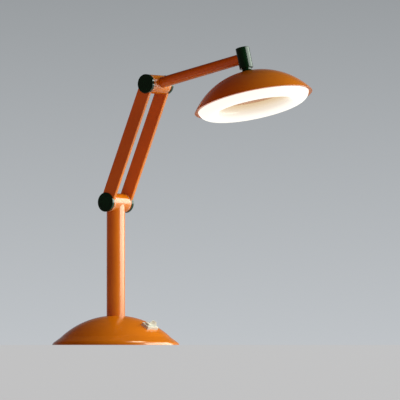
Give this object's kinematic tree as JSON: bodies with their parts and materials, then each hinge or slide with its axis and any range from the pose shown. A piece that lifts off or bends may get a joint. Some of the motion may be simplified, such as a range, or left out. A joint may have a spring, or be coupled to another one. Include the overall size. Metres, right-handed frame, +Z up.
{
  "type": "work lamp",
  "caption": "Table work lamp: domed weighted base with a rocker switch, upright post, paired swing bars, straight arm and a swivelling domed head with a ring of light.",
  "frame": {"origin": "middle of the base's underside, on the table", "axes": "+Z up, the arms swing in the XZ plane and the head hangs towards +X"},
  "size_m": [0.4487, 0.194, 0.451],
  "materials": {
    "orange_enamel": "satin powder coat",
    "green_enamel": "gloss enamel",
    "white_switch": "gloss moulded",
    "opal_acrylic": "opal, lit",
    "white_reflector": "matt white",
    "bright_steel": "turned, zinc plated",
    "cast_weight": "as cast",
    "black_plate": "matt black",
    "felt": "pressed felt",
    "nylon": "moulded",
    "natural_nylon": "moulded, undyed",
    "driver_case": "moulded",
    "led_phosphor": "cast gel"
  },
  "bodies": {
    "base": {"foot_pad": "felt", "base_plate": "black_plate", "plate_screws": "bright_steel", "ballast": "cast_weight", "tie_washer": "bright_steel", "tie_nut": "bright_steel", "tie_stud": "bright_steel", "spacer_tube": "bright_steel", "base_shell": "orange_enamel", "led_driver": "driver_case", "cord_bush": "nylon", "switch_body": "white_switch", "switch_frame": "white_switch", "post_plug": "bright_steel", "post": "orange_enamel", "lower_barrel": "orange_enamel", "lower_bushes": "natural_nylon"},
    "switch": {"rocker": "white_switch"},
    "swing_bars": {"lower_pin": "bright_steel", "near_lower_cap": "green_enamel", "far_lower_cap": "green_enamel", "near_bar": "orange_enamel", "far_bar": "orange_enamel", "upper_pin": "bright_steel", "near_upper_cap": "green_enamel", "far_upper_cap": "green_enamel"},
    "arm": {"upper_barrel": "orange_enamel", "upper_bushes": "natural_nylon", "arm_tube": "orange_enamel", "head_hub": "green_enamel", "hub_plug": "green_enamel"},
    "head": {"swivel_stem": "green_enamel", "stem_clip": "bright_steel", "shade": "orange_enamel", "stem_washer": "bright_steel", "led_tray": "white_reflector", "stem_nut": "bright_steel", "led_board": "white_reflector", "led_chips": "led_phosphor", "diffuser": "opal_acrylic"}
  },
  "joints": [
    {"name": "rocker_press", "type": "hinge", "parent": "base", "child": "switch", "pos_m": [0.06607, 0, 0.03381], "axis": [-0.8444, 0, 0.5357], "range_deg": [0, 22]},
    {"name": "lower_pivot", "type": "hinge", "parent": "base", "child": "swing_bars", "pos_m": [0, 0, 0.222], "axis": [0, 1, 0], "range_deg": [-45, 40]},
    {"name": "upper_pivot", "type": "hinge", "parent": "swing_bars", "child": "arm", "pos_m": [0.07696, 0, 0.39899], "axis": [0, 1, 0], "range_deg": [-55, 60]},
    {"name": "head_swivel", "type": "hinge", "parent": "arm", "child": "head", "pos_m": [0.2466, 0, 0.43289], "axis": [-0.2538, 0, 0.9673], "range_deg": [-170, 170]}
  ]
}
